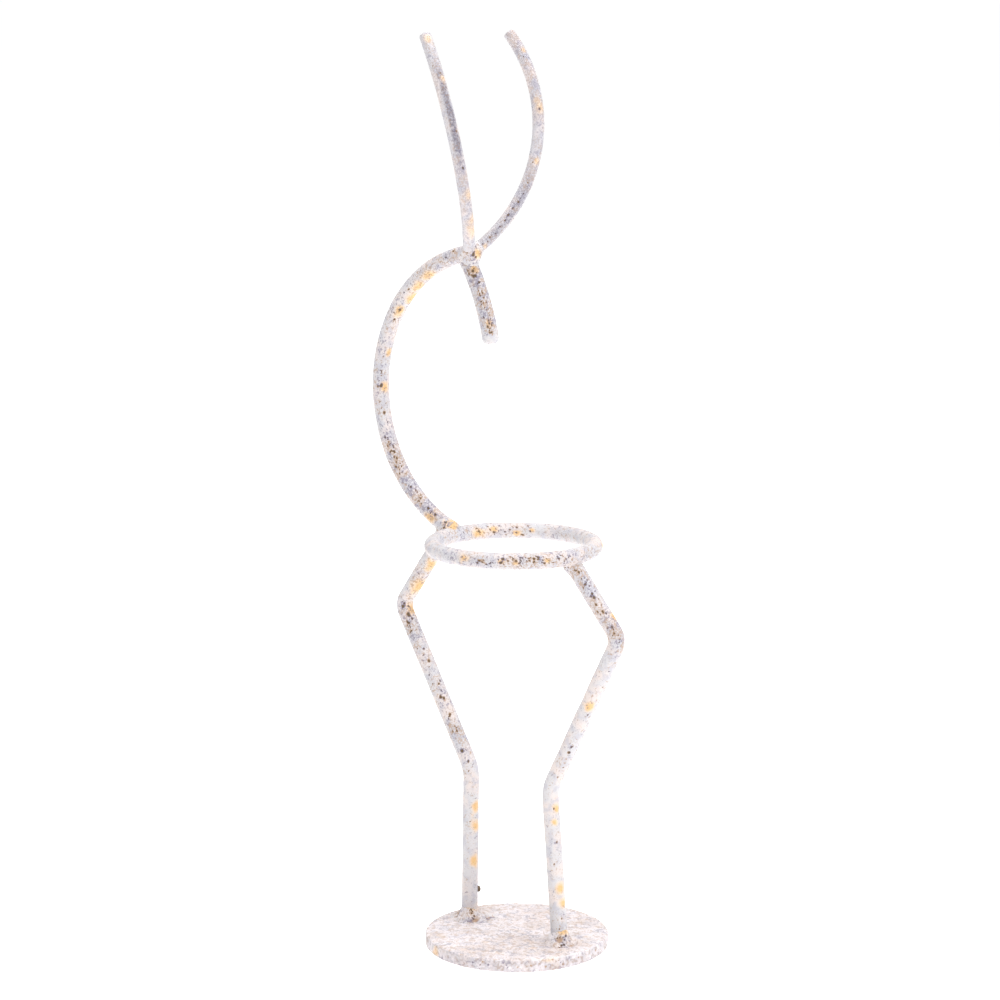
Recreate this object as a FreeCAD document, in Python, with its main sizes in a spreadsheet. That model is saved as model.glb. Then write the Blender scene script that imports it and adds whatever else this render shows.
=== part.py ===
import FreeCAD, Part
import math
import os
import Sketcher

# Welded rod figure of a hare standing on a round plate.
# Two bent legs carry a flat ring; a bowed neck rises from the back of the ring to the head,
# where the snout turns down and the two ears stand up.
# Millimetres, +Z up, the hare looks along +X and is symmetric about the XZ plane.
# The origin is the centre of the underside of the plate.

DIMENSIONS = [
    ("rod_dia", 5.2, "rod of the legs, ring, neck and snout, with its coat"),
    ("ear_rod_dia", 3.7, "thinner rod of the ears, with its coat"),
    ("plate_dia", 57.5, "base plate diameter"),
    ("plate_thk", 4.0, "base plate thickness"),
    ("plate_edge_rad", 0.7, "softened rim of the base plate"),
    ("ring_rad", 25.0, "centre line of the ring"),
    ("ring_x", -1.5, "ring centre, forward"),
    ("ring_z", 127.4, "ring centre, height"),
    ("knee_rad", 5.0, "bend of the knees, centre line"),
    ("ankle_rad", 12.0, "bend of the ankles, centre line"),
    ("front_foot_x", 18.1, "front leg, end on the plate"),
    ("front_ankle_x", 13.7, "front leg, lower corner"),
    ("front_ankle_z", 52.7, "front leg, lower corner"),
    ("front_knee_x", 41.0, "front leg, upper corner"),
    ("front_knee_z", 104.1, "front leg, upper corner"),
    ("front_hip_x", 22.0, "front leg, end under the ring"),
    ("front_hip_z", 125.5, "front leg, end under the ring"),
    ("rear_foot_x", -20.2, "rear leg, end on the plate"),
    ("rear_ankle_x", -19.3, "rear leg, lower corner"),
    ("rear_ankle_z", 53.2, "rear leg, lower corner"),
    ("rear_knee_x", -49.0, "rear leg, upper corner"),
    ("rear_knee_z", 102.3, "rear leg, upper corner"),
    ("rear_hip_x", -30.3, "rear leg, end behind the ring"),
    ("rear_hip_z", 127.4, "rear leg, end behind the ring"),
    ("neck_bend_rad", 45.0, "bow of the neck, centre line"),
    ("neck_bend_x", -13.0, "centre of the bow"),
    ("neck_bend_z", 171.8, "centre of the bow"),
    ("neck_root_x", -27.0, "neck, end on the ring"),
    ("neck_head_x", -19.0, "neck, end at the brow"),
    ("snout_bend_rad", 70.1, "slight bow of the snout, centre line"),
    ("snout_bend_x", -79.6, "centre of the bow"),
    ("snout_bend_z", 176.3, "centre of the bow"),
    ("snout_tip_z", 188.7, "snout, lower end"),
    ("snout_crown_z", 215.3, "snout, upper end under the neck"),
    ("snout_tip_rad", 2.2, "rounding of the snout's lower end"),
    ("ear_bend_rad", 48.2, "bow of the ears, centre line"),
    ("ear_slope", 36.6, "rise of the ear at its root, degrees"),
    ("ear_rise", 68.0, "length of the ear along its lean"),
    ("ear_yaw", 36.5, "turn of the ear outwards, degrees"),
    ("ear_lean", 12.8, "lean of the ear outwards, degrees"),
    ("ear_root_x", -19.2, "ear root, forward"),
    ("ear_root_y", 0.85, "ear root, sideways"),
    ("ear_root_z", 216.7, "ear root, height"),
    ("ear_tip_rad", 0.6, "softened edge of the ear's cut end"),
    ("head_weld_x", -18.6, "weld of neck, snout and ears"),
    ("head_weld_z", 216.0, "weld of neck, snout and ears"),
    ("head_weld_rad", 4.0, "weld of neck, snout and ears"),
    ("rear_weld_x", -29.4, "weld of ring, neck and rear leg"),
    ("rear_weld_z", 129.0, "weld of ring, neck and rear leg"),
    ("rear_weld_rad", 4.2, "weld of ring, neck and rear leg"),
    ("front_weld_x", 20.7, "weld of ring and front leg"),
    ("front_weld_z", 124.3, "weld of ring and front leg"),
    ("front_weld_rad", 3.4, "weld of ring and front leg"),
    ("foot_weld_rise", 2.8, "height of the weld collars on the plate"),
    ("foot_weld_lip", 0.4, "width of the collars at their top"),
    ("foot_weld_hollow", 5.0, "hollow of the collars' slope"),
    ("front_foot_weld_rad", 5.2, "reach of the front collar"),
    ("rear_foot_weld_rad", 6.2, "reach of the rear collar"),
    ("spatter_x", -17.9, "weld spatter bead on the rear leg"),
    ("spatter_y", 1.85, "weld spatter bead on the rear leg"),
    ("spatter_z", 13.9, "weld spatter bead on the rear leg"),
    ("spatter_rad", 0.9, "weld spatter bead on the rear leg"),
]

ON_START = 1
ON_END = 2
ON_CENTRE = 3

doc = FreeCAD.newDocument("hare")
dims = doc.addObject("Spreadsheet::Sheet", "dims")
for row, (alias, value, note) in enumerate(DIMENSIONS, start=1):
    dims.set("A%d" % row, alias)
    dims.set("B%d" % row, str(value))
    dims.set("C%d" % row, note)
    dims.setAlias("B%d" % row, alias)
doc.recompute()


def size(alias):
    """The number that a cell of the sheet holds."""
    return float(dims.get(alias))


def point(x, y=0.0, z=0.0):
    return FreeCAD.Vector(x, y, z)


def new_body(label):
    body = doc.addObject("PartDesign::Body", label)
    body.Label = label
    return body


def new_sketch(body, name, role):
    """A sketch on one of its own body's origin planes."""
    sketch = body.newObject("Sketcher::SketchObject", name)
    plane = [item for item in body.Origin.OriginFeatures if item.Role == role][0]
    sketch.AttachmentSupport = [(plane, "")]
    sketch.MapMode = "FlatFace"
    return sketch


def bind(sketch, kind, where, value, formula):
    """A dimension of a sketch, driven by the sheet."""
    index = sketch.addConstraint(Sketcher.Constraint(kind, *where, value))
    sketch.setExpression("Constraints[%d]" % index, formula)


def move(item, x="0", y="0", z="0"):
    """Place a body or a primitive by three formulas, its turn left as it is."""
    item.setExpression("Placement.Base.x", x)
    item.setExpression("Placement.Base.y", y)
    item.setExpression("Placement.Base.z", z)


def sweep_rod(body, path, diameter):
    """Carry a round section along a path sketch, square to it."""
    section = body.newObject("Sketcher::SketchObject", body.Label + "_section")
    section.AttachmentSupport = [(path, "Edge1")]
    section.MapMode = "NormalToEdge"
    circle = section.addGeometry(Part.Circle(point(0), point(0, 0, 1), size(diameter) / 2))
    section.addConstraint(Sketcher.Constraint("Coincident", circle, ON_CENTRE, -1, ON_START))
    bind(section, "Diameter", (circle,), size(diameter), "dims." + diameter)
    rod = body.newObject("PartDesign::AdditivePipe", body.Label + "_rod")
    rod.Profile = (section, [""])
    rod.Spine = (path, ["Edge%d" % (n + 1) for n in range(len(path.Shape.Edges))])
    doc.recompute()
    return rod


def round_end(body, feature, end, radius):
    """Round the edge of a rod's cut end, the end given as a point of the body."""
    edges = feature.Shape.Edges
    nearest = min(range(len(edges)), key=lambda n: (edges[n].CenterOfMass - end).Length)
    fillet = body.newObject("PartDesign::Fillet", body.Label + "_end")
    fillet.Base = (feature, ["Edge%d" % (nearest + 1)])
    fillet.setExpression("Radius", "dims." + radius)
    doc.recompute()


def bent_path(body, corners, bends):
    """A path of straight runs in the XZ plane, each inner corner rounded by its own bend.

    corners are (x formula, z formula) pairs and bends are the aliases of the bend radii.
    """
    path = new_sketch(body, body.Label + "_path", "XZ_Plane")
    spots = [point(dims.evalExpression(x), dims.evalExpression(z)) for x, z in corners]
    radii = [size(bend) for bend in bends]
    starts = [spots[0]]
    ends = []
    middles = []
    for radius, before, corner, after in zip(radii, spots, spots[1:], spots[2:]):
        incoming = (corner - before).normalize()
        outgoing = (after - corner).normalize()
        turn = incoming.getAngle(outgoing)
        inward = (outgoing - incoming).normalize()
        reach = radius * math.tan(turn / 2)
        ends.append(corner - incoming * reach)
        starts.append(corner + outgoing * reach)
        middles.append(corner + inward * (radius / math.cos(turn / 2) - radius))
    ends.append(spots[-1])

    runs = [path.addGeometry(Part.LineSegment(a, b)) for a, b in zip(starts, ends)]
    for n, middle in enumerate(middles):
        if (middle - ends[n]).cross(starts[n + 1] - middle).z > 0:
            arc = path.addGeometry(Part.Arc(ends[n], middle, starts[n + 1]))
            first, last = ON_START, ON_END
        else:
            arc = path.addGeometry(Part.Arc(starts[n + 1], middle, ends[n]))
            first, last = ON_END, ON_START
        path.addConstraint(Sketcher.Constraint("Tangent", runs[n], ON_END, arc, first))
        path.addConstraint(Sketcher.Constraint("Tangent", arc, last, runs[n + 1], ON_START))
        bind(path, "Radius", (arc,), radii[n], "dims." + bends[n])
        corner = path.addGeometry(Part.Point(spots[n + 1]), True)
        path.addConstraint(Sketcher.Constraint("PointOnObject", corner, ON_START, runs[n]))
        path.addConstraint(Sketcher.Constraint("PointOnObject", corner, ON_START, runs[n + 1]))
        bind(path, "DistanceX", (corner, ON_START), spots[n + 1].x, corners[n + 1][0])
        bind(path, "DistanceY", (corner, ON_START), spots[n + 1].y, corners[n + 1][1])
    for run, side, spot, corner in (
        (runs[0], ON_START, spots[0], corners[0]),
        (runs[-1], ON_END, spots[-1], corners[-1]),
    ):
        bind(path, "DistanceX", (run, side), spot.x, corner[0])
        bind(path, "DistanceY", (run, side), spot.y, corner[1])
    doc.recompute()
    return path


def arc_path(body, radius, middle, angles, fixed):
    """A path of one arc in the XZ plane, drawn anticlockwise seen from -Y.

    middle and angles are where it is first drawn. fixed lists what holds it there besides
    its radius, as (constraint kind, place on the arc, formula).
    """
    path = new_sketch(body, body.Label + "_path", "XZ_Plane")
    circle = Part.Circle(middle, point(0, 0, 1), size(radius))
    arc = path.addGeometry(Part.ArcOfCircle(circle, *angles))
    bind(path, "Radius", (arc,), size(radius), "dims." + radius)
    for kind, side, formula in fixed:
        bind(path, kind, (arc, side), dims.evalExpression(formula), formula)
    doc.recompute()
    return path


def make_plate():
    """Round plate with a softened rim, its underside at height 0."""
    body = new_body("base_plate")
    outline = new_sketch(body, "plate_outline", "XY_Plane")
    circle = outline.addGeometry(Part.Circle(point(0), point(0, 0, 1), size("plate_dia") / 2))
    outline.addConstraint(Sketcher.Constraint("Coincident", circle, ON_CENTRE, -1, ON_START))
    bind(outline, "Diameter", (circle,), size("plate_dia"), "dims.plate_dia")
    pad = body.newObject("PartDesign::Pad", "plate_pad")
    pad.Profile = outline
    pad.setExpression("Length", "dims.plate_thk")
    doc.recompute()
    rims = [n for n, edge in enumerate(pad.Shape.Edges, start=1) if edge.Closed]
    fillet = body.newObject("PartDesign::Fillet", "plate_rim")
    fillet.Base = (pad, ["Edge%d" % n for n in rims])
    fillet.setExpression("Radius", "dims.plate_edge_rad")
    doc.recompute()
    return body


def make_ring():
    """Level ring: the rod's section turned about the ring's upright axis."""
    body = new_body("ring")
    section = new_sketch(body, "ring_section", "XZ_Plane")
    across = point(size("ring_rad"))
    circle = section.addGeometry(Part.Circle(across, point(0, 0, 1), size("rod_dia") / 2))
    section.addConstraint(Sketcher.Constraint("PointOnObject", circle, ON_CENTRE, -1))
    bind(section, "DistanceX", (circle, ON_CENTRE), size("ring_rad"), "dims.ring_rad")
    bind(section, "Diameter", (circle,), size("rod_dia"), "dims.rod_dia")
    turn = body.newObject("PartDesign::Revolution", "ring_turn")
    turn.Profile = section
    turn.ReferenceAxis = (section, ["V_Axis"])
    turn.Angle = 360
    move(body, x="dims.ring_x", z="dims.ring_z")
    doc.recompute()
    return body


def make_leg_rod(side):
    """Rod of one leg: foot, ankle, knee and hip, its foot ending inside the plate."""
    body = new_body(side + "_leg_rod")
    corners = [("dims.%s_foot_x" % side, "dims.plate_thk / 2")]
    for joint in ("ankle", "knee", "hip"):
        corners.append(("dims.%s_%s_x" % (side, joint), "dims.%s_%s_z" % (side, joint)))
    path = bent_path(body, corners, ["ankle_rad", "knee_rad"])
    sweep_rod(body, path, "rod_dia")
    return body


def make_neck_rod():
    """Rod of the neck: one bow from the head, round the back, down onto the ring."""
    body = new_body("neck_rod")
    middle = point(size("neck_bend_x"), size("neck_bend_z"))
    head = math.acos((size("neck_head_x") - middle.x) / size("neck_bend_rad"))
    root = 2 * math.pi - math.acos((size("neck_root_x") - middle.x) / size("neck_bend_rad"))
    fixed = [
        ("DistanceX", ON_CENTRE, "dims.neck_bend_x"),
        ("DistanceY", ON_CENTRE, "dims.neck_bend_z"),
        ("DistanceX", ON_START, "dims.neck_head_x"),
        ("DistanceX", ON_END, "dims.neck_root_x"),
    ]
    path = arc_path(body, "neck_bend_rad", middle, (head, root), fixed)
    sweep_rod(body, path, "rod_dia")
    return body


def make_snout_rod():
    """Slightly bowed rod of the face, its free lower end rounded."""
    body = new_body("snout_rod")
    middle = point(size("snout_bend_x"), size("snout_bend_z"))
    tip = math.asin((size("snout_tip_z") - middle.y) / size("snout_bend_rad"))
    crown = math.asin((size("snout_crown_z") - middle.y) / size("snout_bend_rad"))
    fixed = [
        ("DistanceX", ON_CENTRE, "dims.snout_bend_x"),
        ("DistanceY", ON_CENTRE, "dims.snout_bend_z"),
        ("DistanceY", ON_START, "dims.snout_tip_z"),
        ("DistanceY", ON_END, "dims.snout_crown_z"),
    ]
    path = arc_path(body, "snout_bend_rad", middle, (tip, crown), fixed)
    rod = sweep_rod(body, path, "rod_dia")
    round_end(body, rod, path.Shape.Vertexes[0].Point, "snout_tip_rad")
    return body


def make_ear_rod(label, side):
    """Rod of one ear, bowed in its own leaning plane; side is 1 on +Y and -1 on -Y."""
    body = new_body(label)
    slope = math.radians(size("ear_slope"))
    bend = size("ear_bend_rad")
    middle = point(-bend * math.sin(slope), bend * math.cos(slope))
    tip = math.asin((size("ear_rise") - middle.y) / bend)
    fixed = [
        ("DistanceX", ON_CENTRE, "-dims.ear_bend_rad * sin(dims.ear_slope)"),
        ("DistanceY", ON_CENTRE, "dims.ear_bend_rad * cos(dims.ear_slope)"),
        ("DistanceY", ON_END, "dims.ear_rise"),
    ]
    path = arc_path(body, "ear_bend_rad", middle, (slope - math.pi / 2, tip), fixed)
    path.addConstraint(Sketcher.Constraint("PointOnObject", 0, ON_START, -2))
    doc.recompute()
    rod = sweep_rod(body, path, "ear_rod_dia")
    round_end(body, rod, path.Shape.Vertexes[-1].Point, "ear_tip_rad")
    yaw = FreeCAD.Rotation(point(0, 0, 1), side * size("ear_yaw"))
    lean = FreeCAD.Rotation(point(1, 0, 0), -side * size("ear_lean"))
    body.Placement.Rotation = yaw * lean
    move(body, "dims.ear_root_x", "%d * dims.ear_root_y" % side, "dims.ear_root_z")
    return body


def make_foot_collar(side):
    """Hollow-sided weld collar round one foot, turned about an upright axis."""
    body = new_body(side + "_foot_collar")
    profile = new_sketch(body, body.Label + "_profile", "XZ_Plane")
    reach = size(side + "_foot_weld_rad")
    rise = size("foot_weld_rise")
    lip = size("rod_dia") / 2 + size("foot_weld_lip")
    middle = point(0)
    toe = point(reach)
    shoulder = point(lip, rise)
    top = point(0, rise)
    hollow = size("foot_weld_hollow")
    half = (shoulder - toe) / 2
    outward = point(half.y, -half.x).normalize()
    centre = toe + half + outward * math.sqrt(hollow ** 2 - half.Length ** 2)
    sagged = centre - outward * hollow
    bottom = profile.addGeometry(Part.LineSegment(middle, toe))
    slope = profile.addGeometry(Part.Arc(shoulder, sagged, toe))
    upper = profile.addGeometry(Part.LineSegment(shoulder, top))
    core = profile.addGeometry(Part.LineSegment(top, middle))
    for joint in (
        (bottom, ON_START, -1, ON_START),
        (bottom, ON_END, slope, ON_END),
        (slope, ON_START, upper, ON_START),
        (upper, ON_END, core, ON_START),
        (core, ON_END, bottom, ON_START),
    ):
        profile.addConstraint(Sketcher.Constraint("Coincident", *joint))
    profile.addConstraint(Sketcher.Constraint("Horizontal", bottom))
    profile.addConstraint(Sketcher.Constraint("Horizontal", upper))
    profile.addConstraint(Sketcher.Constraint("Vertical", core))
    bind(profile, "DistanceX", (bottom, ON_END), reach, "dims.%s_foot_weld_rad" % side)
    bind(profile, "DistanceX", (upper, ON_START), lip, "dims.rod_dia / 2 + dims.foot_weld_lip")
    bind(profile, "DistanceY", (upper, ON_START), rise, "dims.foot_weld_rise")
    bind(profile, "Radius", (slope,), hollow, "dims.foot_weld_hollow")
    turn = body.newObject("PartDesign::Revolution", body.Label + "_turn")
    turn.Profile = profile
    turn.ReferenceAxis = (profile, ["V_Axis"])
    turn.Angle = 360
    move(body, x="dims.%s_foot_x" % side, z="dims.plate_thk")
    doc.recompute()
    return body


def make_bead(name, radius, x, z, y="0"):
    """Round drop of weld metal."""
    bead = doc.addObject("Part::Sphere", name)
    bead.setExpression("Radius", radius)
    move(bead, x, y, z)
    return bead


def cut_to_fit(label, blank, *neighbours):
    """The blank less its neighbours, so that they meet face to face."""
    for step, neighbour in enumerate(neighbours, start=1):
        cut = doc.addObject("Part::Cut", "%s_cut%d" % (label, step))
        cut.Base = blank
        cut.Tool = neighbour
        blank = cut
    blank.Label = label
    return blank


plate = make_plate()
ring = make_ring()
snout_rod = make_snout_rod()
neck_rod = make_neck_rod()
front_rod = make_leg_rod("front")
rear_rod = make_leg_rod("rear")
left_ear_rod = make_ear_rod("left_ear_rod", 1)
right_ear_rod = make_ear_rod("right_ear_rod", -1)

neck = cut_to_fit("neck", neck_rod, ring)
snout = cut_to_fit("snout", snout_rod, neck_rod)
front_leg = cut_to_fit("front_leg", front_rod, plate, ring)
rear_leg = cut_to_fit("rear_leg", rear_rod, plate, ring, neck_rod)
left_ear = cut_to_fit("left_ear", left_ear_rod, snout, neck_rod)
right_ear = cut_to_fit("right_ear", right_ear_rod, snout, neck_rod, left_ear_rod)

head_bead = make_bead("head_bead", "dims.head_weld_rad", "dims.head_weld_x", "dims.head_weld_z")
rear_bead = make_bead("rear_bead", "dims.rear_weld_rad", "dims.rear_weld_x", "dims.rear_weld_z")
front_bead = make_bead("front_bead", "dims.front_weld_rad", "dims.front_weld_x", "dims.front_weld_z")
spatter = make_bead("spatter", "dims.spatter_rad", "dims.spatter_x", "dims.spatter_z", "dims.spatter_y")

sub_parts = [
    plate,
    front_leg,
    rear_leg,
    ring,
    neck,
    snout,
    left_ear,
    right_ear,
    cut_to_fit("front_foot_weld", make_foot_collar("front"), front_rod),
    cut_to_fit("rear_foot_weld", make_foot_collar("rear"), rear_rod),
    cut_to_fit("front_ring_weld", front_bead, ring, front_rod),
    cut_to_fit("rear_ring_weld", rear_bead, ring, neck_rod, rear_rod),
    cut_to_fit("head_weld", head_bead, snout, neck_rod, left_ear_rod, right_ear_rod),
    cut_to_fit("spatter_bead", spatter, rear_rod),
]
doc.recompute()

for item in doc.Objects:
    if "Invalid" in item.State or "Error" in item.State:
        raise RuntimeError("%s was not rebuilt: %s" % (item.Label, item.State))
for item in sub_parts:
    if item.Shape.isNull() or not item.Shape.isValid():
        raise RuntimeError("%s has no valid shape" % item.Label)

os.makedirs("parts", exist_ok=True)
for item in sub_parts:
    item.Shape.exportStep("parts/%s.step" % item.Label)
    print("%-16s %d solid(s) %9.1f mm3" % (item.Label, len(item.Shape.Solids), item.Shape.Volume))
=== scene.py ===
import math

import bpy
import numpy as np
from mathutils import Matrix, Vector


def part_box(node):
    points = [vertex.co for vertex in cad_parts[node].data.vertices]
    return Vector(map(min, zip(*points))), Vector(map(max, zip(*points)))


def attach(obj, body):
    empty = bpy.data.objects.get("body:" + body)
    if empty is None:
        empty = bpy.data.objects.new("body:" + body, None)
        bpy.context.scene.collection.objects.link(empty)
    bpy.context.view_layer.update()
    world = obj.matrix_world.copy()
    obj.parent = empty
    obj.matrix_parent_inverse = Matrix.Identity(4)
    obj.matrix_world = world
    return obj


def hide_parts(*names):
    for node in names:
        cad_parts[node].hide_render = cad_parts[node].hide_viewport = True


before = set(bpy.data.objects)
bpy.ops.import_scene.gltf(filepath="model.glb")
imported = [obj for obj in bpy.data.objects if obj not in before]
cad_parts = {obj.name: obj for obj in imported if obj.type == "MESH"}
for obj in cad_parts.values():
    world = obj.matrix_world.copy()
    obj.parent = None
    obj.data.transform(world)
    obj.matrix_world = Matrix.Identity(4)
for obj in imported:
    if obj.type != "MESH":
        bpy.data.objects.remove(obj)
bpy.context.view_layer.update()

bl_info = {
    "name": "Hare Ring Holder",
    "version": (1, 0, 0),
    "blender": (4, 5, 0),
    "location": "3D View > Sidebar > Hare",
    "description": "Welded rod hare on a round plate, in thick, flecked antique paint",
    "category": "Object",
}

# Every size is in metres. The hare looks along +X, stands in the XZ plane, and its plate lies on z = 0.
MM = 0.001
BODY = "root"
ACROSS = np.array([0.0, 1.0, 0.0])
UP = np.array([0.0, 0.0, 1.0])

RING_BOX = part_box("ring")
PLATE_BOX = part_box("base_plate")
ROD_RADIUS = (RING_BOX[1].z - RING_BOX[0].z) / 2
RING_CENTRE = np.array((RING_BOX[0] + RING_BOX[1]) / 2)
RING_RADIUS = (RING_BOX[1].x - RING_BOX[0].x) / 2 - ROD_RADIUS
PLATE_RADIUS = (PLATE_BOX[1].x - PLATE_BOX[0].x) / 2
PLATE_TOP = PLATE_BOX[1].z
PLATE_EDGE = 0.7 * MM

# Legs: corners as (x, z), from inside the plate up to the ring, and the bends between their runs.
FRONT_LEG = np.array([(18.1, 2.0), (13.7, 52.7), (41.0, 104.1), (22.0, 125.5)]) * MM
REAR_LEG = np.array([(-20.2, 2.0), (-19.3, 53.2), (-49.0, 102.3), (-30.3, 127.4)]) * MM
ANKLE_BEND = 12 * MM
KNEE_BEND = 5 * MM
FRONT_FOOT_REACH = 5.2 * MM
REAR_FOOT_REACH = 6.2 * MM

# Neck and snout: bows in the XZ plane.
NECK_CENTRE = np.array([-13.0, 0.0, 171.8]) * MM
NECK_BEND = 45.0 * MM
NECK_HEAD_X = -19.0 * MM
NECK_ROOT_X = -27.0 * MM
SNOUT_CENTRE = np.array([-79.6, 0.0, 176.3]) * MM
SNOUT_BEND = 70.1 * MM
SNOUT_CROWN_Z = 215.3 * MM
SNOUT_TIP_Z = 188.7 * MM
SNOUT_TIP_ROUND = 2.4 * MM
SNOUT_BARE_TIP = 2.8 * MM

# Ears: a mirror pair of bowed, thinner rods that turn and lean outwards.
EAR_ROD_RADIUS = 1.85 * MM
EAR_ROOT = np.array([-19.2, 0.85, 216.7]) * MM
EAR_BEND = 48.2 * MM
EAR_RISE = 68.0 * MM
EAR_SLOPE = math.radians(36.6)
EAR_YAW = math.radians(36.5)
EAR_LEAN = math.radians(12.8)
EAR_TIP_ROUND = 0.6 * MM

# Welds: middle, and how far their metal reaches.
HEAD_WELD = np.array([-18.6, 0.0, 216.4]) * MM
HEAD_WELD_REACH = 6.4 * MM
REAR_RING_WELD = np.array([-29.7, 0.0, 128.4]) * MM
REAR_RING_WELD_REACH = 6.5 * MM
FRONT_RING_WELD = np.array([20.9, 0.0, 124.2]) * MM
FRONT_RING_WELD_REACH = 5.6 * MM
WELD_RAN_TO = np.array([0.85, 0.5, 0.0])
SPATTER = np.array([-17.65, 1.75, 13.6]) * MM
SPATTER_HALF = np.array([0.5, 0.5, 1.05]) * MM

# Grid of the skins.
STEP = 0.3 * MM
ROD_AROUND = 48
CAP_ROWS = 8
ARC_POINTS = 400
HIDDEN_END_ROUND = 0.5 * MM

# The paint was flicked and rubbed mostly from the hare's right and front.
FLICKED_FROM = np.array([0.82, -0.55, 0.16])
STAINED_FROM = np.array([0.93, -0.28, 0.10])
PITTED_FROM = np.array([0.72, -0.66, 0.20])
NECK_STAINED_FROM = np.array([0.84, -0.42, -0.34])
EAR_BARE_FROM = np.array([0.90, -0.42, 0.10])

# Worn places along each piece, as (share of its length, half length). Stains are in mm and pits in PIT_UNIT.
PIT_UNIT = 0.9 * MM
REAR_LEG_STAINS = [
    (0.155, 2.2), (0.235, 2.3), (0.28, 2.3), (0.765, 2.4), (0.85, 4.2), (0.915, 2.8), (0.96, 2.4),
]
REAR_LEG_PITS = [
    (0.385, 0.9), (0.41, 1.3), (0.50, 1.0), (0.545, 0.8), (0.63, 1.1),
    (0.66, 0.7), (0.735, 0.8), (0.75, 1.2), (0.775, 1.2),
]
FRONT_LEG_STAINS = [(0.11, 2.2), (0.145, 2.2), (0.30, 1.2), (0.33, 1.5), (0.62, 2.2), (0.84, 1.8)]
FRONT_LEG_PITS = [
    (0.015, 1.0), (0.035, 0.8), (0.49, 1.1), (0.505, 0.7), (0.42, 0.6), (0.60, 0.6),
    (0.82, 1.1), (0.86, 0.8), (0.90, 1.0), (0.935, 0.9), (0.965, 0.9),
]
RING_STAINS = [
    (0.10, 1.6), (0.326, 1.2), (0.36, 1.5), (0.412, 1.8), (0.45, 2.2),
    (0.72, 1.8), (0.775, 2.0), (0.845, 1.2), (0.872, 1.3), (0.93, 1.2),
]
RING_PITS = [
    (0.33, 0.6), (0.36, 0.6), (0.412, 0.9), (0.45, 0.6),
    (0.845, 0.9), (0.872, 1.1), (0.905, 0.6), (0.95, 0.7),
]
NECK_STAINS = [
    (0.155, 3.0), (0.205, 2.8), (0.255, 3.2), (0.305, 2.8),
    (0.44, 1.6), (0.535, 1.8), (0.93, 2.6), (0.975, 2.4),
]
NECK_PITS = [
    (0.02, 0.8), (0.045, 0.9), (0.07, 0.6), (0.53, 0.9), (0.605, 1.1), (0.70, 0.7),
    (0.76, 0.7), (0.83, 0.8), (0.87, 0.8), (0.91, 1.0), (0.94, 1.0), (0.965, 0.9),
]
SNOUT_STAINS = [(0.18, 1.8), (0.76, 1.6)]
SNOUT_PITS = [(0.20, 1.1), (0.26, 0.9), (0.45, 0.8), (0.62, 0.6), (0.74, 0.7), (0.80, 0.9), (0.86, 0.8)]
RIGHT_EAR_STAINS = [(0.16, 3.0), (0.22, 2.6), (0.34, 2.4), (0.80, 1.4), (0.97, 1.8)]
RIGHT_EAR_PITS = []
LEFT_EAR_STAINS = [(0.05, 1.4), (0.45, 1.6), (0.66, 2.6), (0.90, 1.4)]
LEFT_EAR_PITS = [
    (0.05, 0.5), (0.09, 0.6), (0.12, 0.6), (0.15, 0.7), (0.18, 0.5), (0.21, 0.8),
    (0.24, 0.7), (0.27, 0.8), (0.31, 0.6), (0.36, 0.5), (0.44, 0.5),
]
HEAD_WELD_STAINS = [(0.55, 1.8)]
HEAD_WELD_PITS = [(0.5, 0.8), (0.62, 0.7)]
REAR_RING_WELD_STAINS = [(0.75, 2.4), (0.62, 1.6)]
REAR_RING_WELD_PITS = [(0.70, 0.9), (0.80, 0.8), (0.65, 0.7)]
FRONT_RING_WELD_STAINS = [(0.5, 1.2)]
FRONT_RING_WELD_PITS = [(0.4, 0.8)]
FRONT_FOOT_STAINS = [(0.93, 1.8)]
FRONT_FOOT_PITS = [(0.78, 0.9), (0.88, 0.6)]
REAR_FOOT_STAINS = [(0.85, 1.2), (0.95, 1.8)]
REAR_FOOT_PITS = [(0.84, 0.7), (0.90, 0.8), (0.97, 0.5)]

# How marks spread: cells of the noise in them, how many flecks lie away from the flicks and between patches,
# the scatter of their sides, where a stain fades out, and the sizes of the strewn pits.
PATCH_CELL = 9.0 * MM
OUTLINE_CELL = 1.6 * MM
RAGGED_CELL = 0.5 * MM
AWAY_FROM_FLICKS = 0.30
BETWEEN_PATCHES = 0.45
SIDE_SCATTER = 0.18
STAIN_FULL = 0.1
STAIN_END = 1.6
STREWN_PIT_LEAST = 0.22 * MM
STREWN_PIT_RANGE = 0.55 * MM
RIM_PIT_LEAST = 0.25 * MM
RIM_PIT_MOST = 0.6 * MM
RIM_PIT_SHADE = 0.65

# Layers of lumps, coarse to fine, as (cell, weight).
COAT_LUMPS = [(6.0 * MM, 0.55), (2.2 * MM, 0.30), (0.9 * MM, 0.15)]
PLATE_WRINKLES = [(2.4 * MM, 0.5), (1.1 * MM, 0.5)]
WELD_LUMPS = [(1.7 * MM, 0.7), (0.8 * MM, 0.3)]
COLLAR_BEADS = [(2.0 * MM, 0.75), (0.8 * MM, 0.35)]
COLLAR_ROUGHNESS = 2.4
COLLAR_TOE_LUMPS = [(0.8, 0.16), (0.3, 0.08)]
SPATTER_LUMPS = [(0.7, 0.16), (0.25, 0.05)]

# Paint: cells of its patterns, how far each colour covers those below it, its gloss and its grain.
BROAD_CELL = 7.0 * MM
MIDDLING_CELL = 2.4 * MM
WARMTH_CELL = 3.2 * MM
DUST_CELL_SHARE = 0.45
BLUSH_COVER = 0.7
DULL_COVER = 0.35
PEACH_COVER = 0.7
OCHRE_COVER = 0.9
DUST_COVER = 0.8
RIM_COVER = 0.85
PAINT_GLOSS = 0.2
PAINT_GRAIN = 0.12 * MM
SCALE_CELL = 0.5 * MM
SCALE_GLOSS = 0.5
SCALE_GRAIN = 0.1 * MM

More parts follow.
